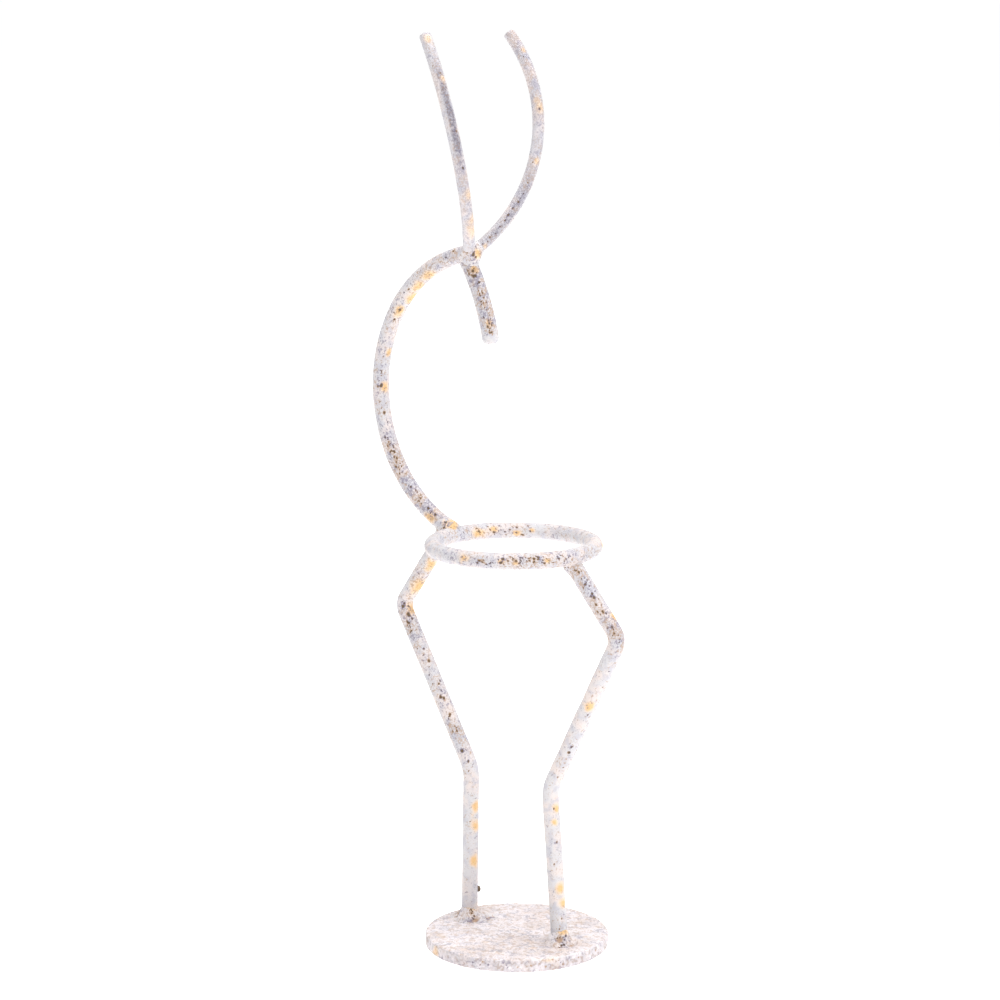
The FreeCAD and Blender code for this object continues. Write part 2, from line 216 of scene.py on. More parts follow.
# Stage: place and width of each light, how far the floor and the camera reach, and its whites.
KEY_PLACE = (1.5, 0.35, 1.25)
KEY_WIDTH = 1.1
OVERHEAD_PLACE = (0.0, 0.0, 1.4)
OVERHEAD_WIDTH = 1.2
FILL_PLACE = (0.9, -1.3, 0.5)
FILL_WIDTH = 1.0
FLOOR_REACH = 40.0
CAMERA_SEES_TO = 200.0
WHITE = (1.0, 1.0, 1.0, 1.0)
FLOOR_PAINT = (0.9, 0.9, 0.9, 1.0)

# A corner of the noise's lattice gets the fraction of a sine, times HASH_SIZE, as its random value.
LATTICE_AXES = np.array([127.1, 311.7, 74.7])
SEED_STEP = 78.233
HASH_SIZE = 43758.5453


def unit(vector):
    """Vectors divided by their lengths."""
    return vector / np.linalg.norm(vector, axis=-1, keepdims=True)


def ease(value, low, high):
    """0 below low, 1 above high, and a smooth S between them."""
    share = np.clip((value - low) / (high - low), 0.0, 1.0)
    return share * share * (3.0 - 2.0 * share)


def at_least(low, share):
    """low where share is 0, and 1 where it is 1."""
    return low + (1.0 - low) * share


def lumps(points, cell, seed):
    """Smooth noise from -1 to 1: random values at the corners of a lattice of cubes, eased between them."""
    scaled = points / cell
    corner = np.floor(scaled)
    inside = scaled - corner
    inside = inside * inside * (3.0 - 2.0 * inside)
    total = np.zeros(points.shape[:-1])
    for offset in np.ndindex(2, 2, 2):
        step = np.array(offset)
        hashed = np.sin((corner + step) @ LATTICE_AXES + seed * SEED_STEP) * HASH_SIZE
        weight = np.prod(np.where(step == 1, inside, 1.0 - inside), axis=-1)
        total += weight * (2.0 * (hashed - np.floor(hashed)) - 1.0)
    return total


def layered(points, layers, seed):
    """The lumps of all layers, each times its weight. Each layer has the next seed."""
    return sum(weight * lumps(points, cell, seed + number) for number, (cell, weight) in enumerate(layers))


def dent(reach):
    """(1 - reach^2)^2 inside a mark, where reach is below 1, and 0 outside it."""
    return np.maximum(1.0 - reach ** 2, 0.0) ** 2


def level_circle(count):
    """Unit vectors (cos a, sin a, 0), for count even steps of a round the Z axis."""
    angle = np.linspace(0.0, 2 * math.pi, count, endpoint=False)
    return np.stack([np.cos(angle), np.sin(angle), 0.0 * angle], axis=1)


def ball(rows, around):
    """Unit vectors (cos b cos a, cos b sin a, sin b) on a grid of latitudes b and longitudes a.

    With them comes how far each lies above the lowest, in radians.
    """
    latitude = np.linspace(-math.pi / 2, math.pi / 2, rows)[:, None]
    longitude = np.linspace(0.0, 2 * math.pi, around, endpoint=False)[None]
    outward = np.stack([
        np.cos(latitude) * np.cos(longitude),
        np.cos(latitude) * np.sin(longitude),
        np.sin(latitude) + 0.0 * longitude,
    ], axis=-1)
    return outward, np.repeat(latitude - latitude[0], around, axis=1)


class Skin:
    """A closed surface on a grid. Each row goes once round the piece's section, and the rows run along it.

    outward is the way that each point faces. along is how far along the piece it lies: a length on rods, the
    ring and collars, an angle on a ball, and the distance from the Z axis on the plate.
    On a ring the last row joins the first. Elsewhere the first and last rows are one point each.
    Marks say how flecked, stained, pitted and greyed the paint is at each point, from 0 to 1. On the plate's
    side and in the foot collars' crevices, the grey is painted shade.
    """

    def __init__(self, points, outward, along, ring=False):
        self.points = points
        self.outward = outward
        self.along = along
        self.ring = ring
        self.marks = {name: np.zeros(points.shape[:2]) for name in ("flecks", "ochre", "pits", "grey")}

    def push(self, height):
        """Moves each point outwards by its height."""
        self.points = self.points + self.outward * height[..., None]

    def facing(self, side):
        """How much each point faces a side, from -1 to 1."""
        return self.outward @ unit(side)

    def place(self, share, side):
        """The point at a share of the length that faces a side most."""
        row = np.argmin(np.abs(self.along[:, 0] - share * self.along[-1, 0]))
        return self.points[row, np.argmax(self.facing(side)[row])]

    def mesh(self, name):
        """A mesh of the grid: four-cornered faces between the rows, and three-cornered ones round a pole."""
        rows, around = self.points.shape[:2]
        number = np.arange(rows * around).reshape(rows, around)
        if not self.ring:
            number = np.maximum(number - around + 1, 0)
            number[-1] = number[-1, 0]
        first = np.unique(number, return_index=True)[1]
        low = number if self.ring else number[:-1]
        high = np.roll(number, -1, axis=0) if self.ring else number[1:]
        corners = [low, np.roll(low, -1, axis=1), np.roll(high, -1, axis=1), high]
        faces = np.stack(corners, axis=-1).reshape(-1, 4)
        if self.ring:
            faces = faces.tolist()
        else:
            start, end = faces[:around, [0, 2, 3]], faces[-around:, :3]
            faces = start.tolist() + faces[around:-around].tolist() + end.tolist()
        mesh = bpy.data.meshes.new(name)
        mesh.from_pydata(self.points.reshape(-1, 3)[first].tolist(), [], faces)
        mesh.shade_smooth()
        for mark, values in self.marks.items():
            attribute = mesh.attributes.new(mark, "FLOAT", "POINT")
            attribute.data.foreach_set("value", values.reshape(-1)[first].astype(np.float32))
        return mesh


def even_line(points):
    """The line through the points, divided evenly."""
    lengths = np.concatenate([[0.0], np.cumsum(np.linalg.norm(np.diff(points, axis=0), axis=1))])
    even = np.linspace(0.0, lengths[-1], int(lengths[-1] / STEP) + 1)
    return np.stack([np.interp(even, lengths, column) for column in points.T], axis=1)


def bent_line(corners, bends):
    """Centre line of a leg: straight runs joined by arcs that touch them.

    A bend of radius b that turns by an angle t starts b tan(t / 2) before its corner.
    """
    bend_points = 24
    corners = np.stack([corners[:, 0], 0.0 * corners[:, 0], corners[:, 1]], axis=1)
    pieces = [corners[:1]]
    for before, corner, after, bend in zip(corners, corners[1:], corners[2:], bends):
        inwards, outwards = unit(corner - before), unit(after - corner)
        turn = math.acos(inwards @ outwards)
        side = unit(outwards - inwards * (inwards @ outwards))
        start = corner - inwards * bend * math.tan(turn / 2)
        angle = np.linspace(0.0, turn, bend_points)[:, None]
        pieces.append(start + bend * (side * (1.0 - np.cos(angle)) + inwards * np.sin(angle)))
    pieces.append(corners[-1:])
    return even_line(np.concatenate(pieces))


def bow_line(centre, bend, start, end):
    """Centre line of a bow in the XZ plane: centre + bend (cos a, 0, sin a), for a from start to end."""
    angle = np.linspace(start, end, ARC_POINTS)
    around = np.stack([np.cos(angle), 0.0 * angle, np.sin(angle)], axis=1)
    return even_line(centre + bend * around)


def neck_line():
    """From the brow round the back of the bow to the ring."""
    head = math.acos((NECK_HEAD_X - NECK_CENTRE[0]) / NECK_BEND)
    root = 2 * math.pi - math.acos((NECK_ROOT_X - NECK_CENTRE[0]) / NECK_BEND)
    return bow_line(NECK_CENTRE, NECK_BEND, head, root)


def snout_line():
    """From the brow down the front of a wide bow to the tip of the snout."""
    crown = math.asin((SNOUT_CROWN_Z - SNOUT_CENTRE[2]) / SNOUT_BEND)
    tip = math.asin((SNOUT_TIP_Z - SNOUT_CENTRE[2]) / SNOUT_BEND)
    return bow_line(SNOUT_CENTRE, SNOUT_BEND, crown, tip)


def ear_plane(side):
    """Forward and upward directions of the plane that an ear is bent in.

    side is 1 for the left ear and -1 for the right one. The plane is yawed outwards, then leans outwards.
    """
    forward = np.array([math.cos(EAR_YAW), side * math.sin(EAR_YAW), 0.0])
    upward = np.array([
        -math.sin(EAR_LEAN) * math.sin(EAR_YAW),
        side * math.sin(EAR_LEAN) * math.cos(EAR_YAW),
        math.cos(EAR_LEAN),
    ])
    return forward, upward


def ear_line(side):
    """Centre line of an ear: an arc that starts at the root with the ear's slope and rises by its length."""
    forward, upward = ear_plane(side)
    lowest = EAR_SLOPE - math.pi / 2
    highest = math.asin(EAR_RISE / EAR_BEND - math.cos(EAR_SLOPE))
    angle = np.linspace(lowest, highest, ARC_POINTS)[:, None]
    sideways = EAR_BEND * (np.cos(angle) - math.sin(EAR_SLOPE))
    height = EAR_BEND * (np.sin(angle) + math.cos(EAR_SLOPE))
    root = EAR_ROOT * np.array([1.0, side, 1.0])
    return even_line(root + sideways * forward + height * upward)


def ring_line():
    """Centre line of the ring, a level circle whose last point lies one step before its first."""
    return RING_CENTRE + RING_RADIUS * level_circle(int(2 * math.pi * RING_RADIUS / STEP))


def rod_skin(line, across, radius, start_round, end_round):
    """A round bar carried along a line in a plane whose normal is across.

    At a distance s along the line and an angle a round it, the point is
    line(s) + girth(s) (cos(a) side + sin(a) across), where side = across x direction of the line.
    An end is a flat face with an edge of its own rounding: at an angle t of that edge it lies
    rounding (1 - sin t) from the end, and its girth is radius - rounding + rounding cos t.
    """
    length = STEP * (len(line) - 1)
    distance = np.linspace(0.0, length, len(line))
    tilt = np.linspace(0.0, math.pi / 2, CAP_ROWS)
    inner = distance[(distance > start_round + STEP / 2) & (distance < length - end_round - STEP / 2)]

    def cap(rounding):
        depth = np.concatenate([rounding * (1.0 - np.sin(tilt)), [0.0, 0.0]])
        girth = np.concatenate([radius - rounding + rounding * np.cos(tilt), [(radius - rounding) / 2, 0.0]])
        return depth, girth, np.concatenate([tilt, [math.pi / 2, math.pi / 2]])

    start_depth, start_girth, start_tilt = cap(start_round)
    end_depth, end_girth, end_tilt = cap(end_round)
    along = np.concatenate([start_depth[::-1], inner, length - end_depth])
    girth = np.concatenate([start_girth[::-1], np.full(len(inner), radius), end_girth])
    tilts = np.concatenate([-start_tilt[::-1], np.zeros(len(inner)), end_tilt])

    centre = np.stack([np.interp(along, distance, column) for column in line.T], axis=1)
    course = unit(np.gradient(line, axis=0))
    course = unit(np.stack([np.interp(along, distance, column) for column in course.T], axis=1))
    side = np.cross(across, course)
    angle = np.linspace(0.0, 2 * math.pi, ROD_AROUND, endpoint=False)[None, :, None]
    spoke = np.cos(angle) * side[:, None] + np.sin(angle) * across
    outward = np.cos(tilts)[:, None, None] * spoke + np.sin(tilts)[:, None, None] * course[:, None]
    points = centre[:, None] + girth[:, None, None] * spoke
    return Skin(points, outward, np.repeat(along[:, None], ROD_AROUND, axis=1))


def ring_skin():
    """The rod's circle carried round the ring's circle."""
    line = ring_line()
    spoke_out = unit(line - RING_CENTRE)[:, None]
    angle = np.linspace(0.0, 2 * math.pi, ROD_AROUND, endpoint=False)[None, :, None]
    outward = np.cos(angle) * spoke_out - np.sin(angle) * UP
    along = np.linspace(0.0, 2 * math.pi * RING_RADIUS, len(line))
    along = np.repeat(along[:, None], ROD_AROUND, axis=1)
    return Skin(line[:, None] + ROD_RADIUS * outward, outward, along, ring=True)


def plate_skin():
    """The plate's section turned round the Z axis: underside, rounded edge, side, rounded edge and top."""
    ring_step = 1.15 * STEP
    top_rings = int(PLATE_RADIUS / ring_step)
    under_rings = 16
    side_rings = 10
    around = 480
    flat = PLATE_RADIUS - PLATE_EDGE
    turn = np.linspace(0.0, math.pi / 2, CAP_ROWS)
    wall = np.linspace(PLATE_EDGE, PLATE_TOP - PLATE_EDGE, side_rings)[1:-1]
    radius = np.concatenate([
        np.linspace(0.0, flat, under_rings)[:-1],
        flat + PLATE_EDGE * np.sin(turn),
        np.full(len(wall), PLATE_RADIUS),
        flat + PLATE_EDGE * np.cos(turn),
        np.linspace(flat, 0.0, top_rings)[1:],
    ])
    height = np.concatenate([
        np.zeros(under_rings - 1),
        PLATE_EDGE * (1.0 - np.cos(turn)),
        wall,
        PLATE_TOP - PLATE_EDGE * (1.0 - np.sin(turn)),
        np.full(top_rings - 1, PLATE_TOP),
    ])
    tilt = np.concatenate([
        np.full(under_rings - 1, -math.pi / 2),
        turn - math.pi / 2,
        np.zeros(len(wall)),
        turn,
        np.full(top_rings - 1, math.pi / 2),
    ])
    spoke = level_circle(around)[None]
    points = radius[:, None, None] * spoke + height[:, None, None] * UP
    outward = np.cos(tilt)[:, None, None] * spoke + np.sin(tilt)[:, None, None] * UP
    return Skin(points, outward, np.repeat(radius[:, None], around, axis=1))


def rod_distance(points, line, radius):
    """Distance from points to a rod's surface, negative inside it."""
    squares = (points ** 2).sum(-1)[:, None] + (line ** 2).sum(-1) - 2.0 * points @ line.T
    return np.sqrt(np.maximum(squares.min(axis=1), 0.0)) - radius


def weld_skin(middle, reach, rods, bulge, ripple, seed):
    """Weld metal run between rods.

    The rods' distances d are blended into one field, -k log(sum exp(-d / k)), which fills their corners.
    Along each direction from the middle, the skin lies where the field first passes
    bulge - (bulge + rod radius) (r / reach)^4, so it stands off the rods near the middle and sinks into them
    towards its reach. Ripples are noise added to that distance.
    """
    rows, around, samples = 60, 90, 36
    softness = 0.6 * MM
    near_by = 2.5 * reach
    outward, along = ball(rows, around)
    radii = np.linspace(0.0, reach, samples)
    points = (middle + outward[:, :, None] * radii[:, None]).reshape(-1, 3)
    total = 0.0
    for line, radius in rods:
        near = line[np.linalg.norm(line - middle, axis=1) < near_by]
        total = total + np.exp(-rod_distance(points, near, radius) / softness)
    field = (-softness * np.log(total)).reshape(rows, around, samples)
    over = field - (bulge - (bulge + ROD_RADIUS) * (radii / reach) ** 4)
    last = np.maximum(np.argmax(over > 0.0, axis=-1), 1)[..., None]
    here = np.take_along_axis(over, last, axis=-1)
    below = np.take_along_axis(over, last - 1, axis=-1)
    distance = (radii[last] - (radii[1] - radii[0]) * here / (here - below))[..., 0]
    surface = middle + outward * distance[..., None]
    distance = distance + ripple * layered(surface, WELD_LUMPS, seed)
    distance[0], distance[-1] = distance[0, 0], distance[-1, 0]
    return Skin(middle + outward * distance[..., None], outward, along)


def foot_weld_skin(foot_x, reach, rise, lobe, ripple, seed):
    """A collar of weld metal: its section slopes from the leg down to the plate, and is closed inside.

    At an angle a, the section reaches out by reach (1 + lobe c(a)^2 + noise(a)), where c is the cosine to the
    side that the metal ran to, never under 0, and up by rise (1 + noise(a)). At a share u of the way out, the
    slope is at (1 - u)^hollow of the rise, and lumps of the weld's beads stand on it. From its toe the
    section goes down into the plate, back inwards there, and up inside the leg.
    """
    around, slope_points = 200, 30
    sunk = 0.4 * MM
    tucked = 0.6 * MM
    hollow = 2.2
    spoke = level_circle(around)
    run = np.maximum(spoke @ unit(WELD_RAN_TO), 0.0) ** 2
    toe = reach * (1.0 + lobe * run + layered(spoke, COLLAR_TOE_LUMPS, seed))
    top = rise * (1.0 + 0.25 * lumps(spoke, 0.8, seed + 2))
    inner = ROD_RADIUS - tucked
    share = np.linspace(0.0, 1.0, slope_points)
    out_share = np.concatenate([share, [1.0, 0.5, 0.0, 0.0]])
    up_share = np.concatenate([(1.0 - share) ** hollow, [0.0, 0.0, 0.0, 0.5]])
    dropped = np.concatenate([np.zeros(slope_points), [sunk, sunk, sunk, 0.0]])
    radius = inner + (toe[:, None] - inner) * out_share
    height = PLATE_TOP + top[:, None] * up_share - dropped
    base = np.array([foot_x, 0.0, 0.0])
    points = base + radius[..., None] * spoke[:, None] + height[..., None] * UP
    open_share = np.concatenate([np.sin(math.pi * share) ** 0.6, [0.0, 0.0, 0.0, 0.0]])
    outward = np.broadcast_to(unit(spoke + UP)[:, None], points.shape)
    along = np.linspace(0.0, 2 * math.pi * reach, around, endpoint=False)
    skin = Skin(points, outward, np.repeat(along[:, None], len(out_share), axis=1), ring=True)
    bead = layered(points, COLLAR_BEADS, seed + 3)
    skin.push(ripple * open_share * (0.5 + bead))
    # Painted shade: the grey mark darkens the crevices between the beads.
    skin.marks["grey"] = open_share * ease(-bead, 0.0, 0.5)
    return skin


def spatter_skin(half, seed):
    """A small bead drawn out along the rod: middle + direction x half sizes x (1 + lumps)."""
    outward, along = ball(rows=40, around=48)
    size = 1.0 + layered(outward, SPATTER_LUMPS, seed)
    size[0], size[-1] = size[0, 0], size[-1, 0]
    return Skin(SPATTER + outward * half * size[..., None], outward, along)


def wear(skin, stains, pits, crowd, seed, depth, relief=0.0,
         fleck_share=1.0, stained_from=STAINED_FROM, narrow=1.4):
    """Gives a skin its coat: lumps, flecks, ochre stains and small pits.

    Stains and pits lie at their shares of the length. A crowd of smaller pits is strewn where flecks are
    thick. A mark is narrow times as long as wide: at a distance r from its middle, of which a lies along the
    piece, its reach is the root of r^2 + (narrow^2 - 1) (r^2 - a^2), in half lengths, with noise to break its
    outline. A stain fades out between STAIN_FULL and STAIN_END, and a pit sinks by depth (1 - reach^2)^2.
    """
    random = np.random.default_rng(seed)
    points = skin.points
    patches = ease(lumps(points, PATCH_CELL, seed), -0.7, 0.5)
    flicked = ease(skin.facing(FLICKED_FROM), 0.0, 0.85)
    flecks = fleck_share * at_least(AWAY_FROM_FLICKS, flicked) * at_least(BETWEEN_PATCHES, patches)
    wavy = 1.0 + 0.40 * lumps(points, OUTLINE_CELL, seed + 1)
    ragged = wavy + 0.25 * lumps(points, RAGGED_CELL, seed + 5)

    def away(centre, along):
        """The root of r^2 + (narrow^2 - 1) (r^2 - a^2)."""
        square = ((points - centre) ** 2).sum(-1)
        across = np.maximum(square - (skin.along - along) ** 2, 0.0)
        return np.sqrt(square + (narrow ** 2 - 1.0) * across)

    length = skin.along[-1, 0]
    ochre = np.zeros(points.shape[:2])
    for share, half_length in stains:
        side = unit(stained_from) + random.normal(0.0, SIDE_SCATTER, 3)
        reach = away(skin.place(share, side), share * length) * wavy / (half_length * MM)
        ochre = np.maximum(ochre, 1.0 - ease(reach, STAIN_FULL, STAIN_END))

    spots = []
    for share, half_length in pits:
        side = unit(PITTED_FROM) + random.normal(0.0, SIDE_SCATTER, 3)
        spots.append((skin.place(share, side), share * length, half_length * PIT_UNIT))
    chances = (flecks ** 2 * ease(skin.facing(PITTED_FROM), 0.6, 1.0) ** 2).reshape(-1)
    chosen = random.choice(len(chances), crowd, p=chances / chances.sum())
    half_lengths = STREWN_PIT_LEAST + STREWN_PIT_RANGE * random.random(crowd) ** 2
    spots += list(zip(points.reshape(-1, 3)[chosen], skin.along.reshape(-1)[chosen], half_lengths))
    pitted = np.zeros(points.shape[:2])
    for centre, along, half_length in spots:
        pitted = np.maximum(pitted, dent(away(centre, along) * ragged / half_length))

    skin.push(relief * layered(points, COAT_LUMPS, seed + 2) - depth * pitted)
    skin.marks["flecks"] = flecks
    skin.marks["ochre"] = ochre
    skin.marks["pits"] = pitted


class Number:
    """A number that varies over a surface. Python's operators on it add Math nodes to its paint."""

    def __init__(self, paint, socket):
        self.paint = paint
        self.socket = socket

    def apply(self, operation, first, second):
        """A Math node that works on two numbers or sockets."""
        node = self.paint.add("ShaderNodeMath", {"operation": operation}, {0: first, 1: second})
        return Number(self.paint, node.outputs[0])

    def __add__(self, other):
        return self.apply("ADD", self, other)

    def __radd__(self, other):
        return self.apply("ADD", other, self)

    def __sub__(self, other):
        return self.apply("SUBTRACT", self, other)

    def __rsub__(self, other):
        return self.apply("SUBTRACT", other, self)

    def __mul__(self, other):
        return self.apply("MULTIPLY", self, other)

    def __rmul__(self, other):
        return self.apply("MULTIPLY", other, self)


# Sockets of a Mix node for its colours, which share their names with those for numbers.
MIX_FIRST = 6
MIX_SECOND = 7
MIX_RESULT = 2


class Paint:
    """A material in the making, round its one Principled shader."""

    def __init__(self, name):
        self.material = bpy.data.materials.new(name)
        self.material.use_nodes = True
        self.tree = self.material.node_tree
        self.shader = self.tree.nodes["Principled BSDF"]
        self.place = self.add("ShaderNodeTexCoord").outputs["Object"]

    def add(self, kind, settings=None, inputs=None):
        """Adds a node of a kind. Its settings come first, then the values or links of its sockets."""
        node = self.tree.nodes.new(kind)
        for name, value in (settings or {}).items():
            setattr(node, name, value)
        for name, value in (inputs or {}).items():
            self.feed(node.inputs[name], value)
        return node

    def feed(self, socket, value):
        """Links a socket to a Number or another socket, or sets it to a value."""
        if isinstance(value, Number):
            value = value.socket
        if isinstance(value, bpy.types.NodeSocket):
            self.tree.links.new(value, socket)
        else:
            socket.default_value = value

    def noise(self, cell, detail=1.0, distortion=0.0):
        """Noise whose features are about one cell across."""
        inputs = {"Vector": self.place, "Scale": 1.0 / cell, "Detail": detail, "Distortion": distortion}
        return Number(self, self.add("ShaderNodeTexNoise", {}, inputs).outputs["Fac"])

    def mark(self, name):
        """One of the skin's marks."""
        node = self.add("ShaderNodeAttribute", {"attribute_name": name})
        return Number(self, node.outputs["Fac"])

    def rise(self, value, low, high):
        """0 below low, 1 above high, smooth between them."""
        inputs = {"Value": value, "From Min": low, "From Max": high}
        node = self.add("ShaderNodeMapRange", {"interpolation_type": "SMOOTHSTEP"}, inputs)
        return Number(self, node.outputs["Result"])

    def blend(self, first, second, share):
        """The first colour where share is 0, the second where it is 1."""
        inputs = {"Factor": share, MIX_FIRST: opaque(first), MIX_SECOND: opaque(second)}
        return self.add("ShaderNodeMix", {"data_type": "RGBA"}, inputs).outputs[MIX_RESULT]

    def bump(self, height, distance):
        """The surface's direction, tilted by a height that is counted in the distance."""
        inputs = {"Strength": 1.0, "Distance": distance, "Height": height}
        return self.add("ShaderNodeBump", {}, inputs).outputs["Normal"]

    def finish(self, colour, roughness, normal, specular):
        """Feeds the shader and gives the finished material."""
        self.feed(self.shader.inputs["Base Color"], colour)
        self.feed(self.shader.inputs["Roughness"], roughness)
        self.feed(self.shader.inputs["Normal"], normal)
        self.feed(self.shader.inputs["Specular IOR Level"], specular)
        return self.material


def opaque(colour):
    """A colour property with an alpha of 1, or a colour socket as it is."""
    return colour if isinstance(colour, bpy.types.NodeSocket) else (*colour, 1.0)


def flecked_paint(name, colours, ground, fleck_cell, fleck_low, rubbed, cool=0.55, warm_low=0.42):
    """Antique paint: a mottled ground, ochre stains, fine flecks of violet and umber, and sooty pits.

    The ground goes to a blush and, by the share cool, to lilac in patches. A fleck shows where fine noise is
    above fleck_low, which the flecks mark brings down. It is umber where a broader noise is above warm_low.
    Dust is a finer layer of the same flecks, and rubbed is how strongly both cover the ground. The grey mark
    darkens the ground towards slate: the ears' rubbed-bare streaks, and painted shade on the plate's side and
    in the crevices of the foot collars.
    """
    paint = Paint(name)
    broad = paint.noise(BROAD_CELL, 2.0)
    middling = paint.noise(MIDDLING_CELL, 2.0)
    fine = paint.noise(fleck_cell, 1.5, 0.6)
    finest = paint.noise(DUST_CELL_SHARE * fleck_cell, 1.0)
    flecks = paint.mark("flecks")
    ochre = paint.mark("ochre")
    pits = paint.mark("pits")
    grey = paint.mark("grey")

    blush = BLUSH_COVER * paint.rise(broad, 0.44, 0.64)
    lilac = cool * paint.rise(middling, 0.46, 0.66)
    # Slate where the grey mark is high: the ears' rubbed-bare streaks, and painted shade on the plate's side
    # and in the collar crevices.
    bare = grey * (2.2 * fine - 0.25)
    halo = PEACH_COVER * paint.rise(ochre + 0.3 * middling, 0.15, 0.95)
    stain = paint.rise(ochre + 0.4 * middling + 0.5 * fine, 0.66, 1.48)
    colour = paint.blend(ground, colours.blush, blush)
    colour = paint.blend(colour, colours.lilac, lilac)
    colour = paint.blend(colour, colours.lilac, DULL_COVER * flecks)
    colour = paint.blend(colour, colours.slate, bare)
    colour = paint.blend(colour, colours.peach, halo)
    colour = paint.blend(colour, colours.ochre, OCHRE_COVER * stain * stain)

    warmth = paint.rise(paint.noise(WARMTH_CELL, 1.0), warm_low, warm_low + 0.14)
    fleck_colour = paint.blend(colours.violet, colours.umber, warmth)
    fleck = paint.rise(fine + 0.19 * flecks, fleck_low, fleck_low + 0.05)
    dust = paint.rise(finest + 0.16 * flecks, 0.66, 0.72)
    rim = paint.rise(pits + 0.3 * finest, 0.20, 0.50)
    core = paint.rise(pits + 0.5 * fine, 0.60, 0.90)
    colour = paint.blend(colour, fleck_colour, rubbed * fleck)
    colour = paint.blend(colour, fleck_colour, DUST_COVER * rubbed * dust)
    colour = paint.blend(colour, fleck_colour, RIM_COVER * rim)
    colour = paint.blend(colour, colours.soot, core)

    roughness = 0.38 + 0.15 * broad + 0.20 * fleck + 0.25 * core
    height = 0.55 * middling + 0.45 * fine - 0.5 * fleck - 0.6 * core
    return paint.finish(colour, roughness, paint.bump(height, PAINT_GRAIN), PAINT_GLOSS)


def scale_paint(name, colours):
    """Burnt spatter: sooty metal with a rust-brown bloom."""
    paint = Paint(name)
    grain = paint.noise(SCALE_CELL, 2.0)
    colour = paint.blend(colours.soot, colours.umber, 0.6 * paint.rise(grain, 0.5, 0.7))
    return paint.finish(colour, 0.45 + 0.25 * grain, paint.bump(grain, SCALE_GRAIN), SCALE_GLOSS)


def finish_piece(name, node, skin, material):
    """Puts a skin in the scene in place of its CAD node, on the body, with its paint."""
    piece = bpy.data.objects.new(name, skin.mesh(name))
    bpy.context.scene.collection.objects.link(piece)
    piece.data.materials.append(material)
    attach(piece, BODY)
    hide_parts(node)


def rod_material(context):
    """The paint of the thick rods, made once."""
    name = "aged_rod_paint"
    colours = context.scene.hare_colours
    ready = bpy.data.materials.get(name)
    return ready or flecked_paint(
        name, colours, colours.coat, fleck_cell=0.70 * MM, fleck_low=0.67, rubbed=0.62)


class HareSizes(bpy.types.PropertyGroup):
    """Reliefs of the coat and the welds."""

    relief: bpy.props.FloatProperty(
        name="Coat relief", description="Height of the lumps in the thick coat",
        default=0.09 * MM, min=0.0, unit="LENGTH")
    pit_depth: bpy.props.FloatProperty(
        name="Pit depth", description="Depth of the small pits in the coat",
        default=0.22 * MM, min=0.0, unit="LENGTH")
    weld_bulge: bpy.props.FloatProperty(
        name="Weld bulge", description="How far the welds stand off the rods that they join",
        default=0.45 * MM, min=0.0, unit="LENGTH")
    weld_ripple: bpy.props.FloatProperty(
        name="Weld ripple", description="Height of the lumps in the weld metal",
        default=0.35 * MM, min=0.0, unit="LENGTH")
    collar_rise: bpy.props.FloatProperty(
        name="Collar rise", description="Height of the weld collars round the feet",
        default=4.0 * MM, min=0.0, unit="LENGTH")


class HareColours(bpy.types.PropertyGroup):
    """Colours of the paint."""

    coat: bpy.props.FloatVectorProperty(
        name="Coat", description="Off-white of the rods", subtype="COLOR", default=(0.625, 0.605, 0.615))
    plate: bpy.props.FloatVectorProperty(
        name="Plate", description="Lighter white of the plate", subtype="COLOR", default=(0.93, 0.86, 0.86))
    ear: bpy.props.FloatVectorProperty(
        name="Ears", description="Greyer off-white of the ears", subtype="COLOR", default=(0.58, 0.56, 0.58))
    blush: bpy.props.FloatVectorProperty(
        name="Blush", description="Pinkish patches", subtype="COLOR", default=(0.76, 0.65, 0.60))
    lilac: bpy.props.FloatVectorProperty(
        name="Lilac", description="Cool grey patches", subtype="COLOR", default=(0.46, 0.455, 0.52))
    violet: bpy.props.FloatVectorProperty(
        name="Violet", description="Cool flecks", subtype="COLOR", default=(0.20, 0.17, 0.24))
    umber: bpy.props.FloatVectorProperty(
        name="Umber", description="Warm flecks", subtype="COLOR", default=(0.42, 0.27, 0.17))
    # Slate also stands for painted shade on the plate's side and in the foot collars' crevices.
    slate: bpy.props.FloatVectorProperty(
        name="Slate", description="Grey of what is rubbed bare", subtype="COLOR", default=(0.19, 0.18, 0.225))
    peach: bpy.props.FloatVectorProperty(
        name="Peach", description="Halo of the stains", subtype="COLOR", default=(0.82, 0.62, 0.44))
    ochre: bpy.props.FloatVectorProperty(
        name="Ochre", description="Golden stains", subtype="COLOR", default=(0.74, 0.47, 0.20))
    soot: bpy.props.FloatVectorProperty(
        name="Soot", description="Bottoms of the pits", subtype="COLOR", default=(0.15, 0.105, 0.065))


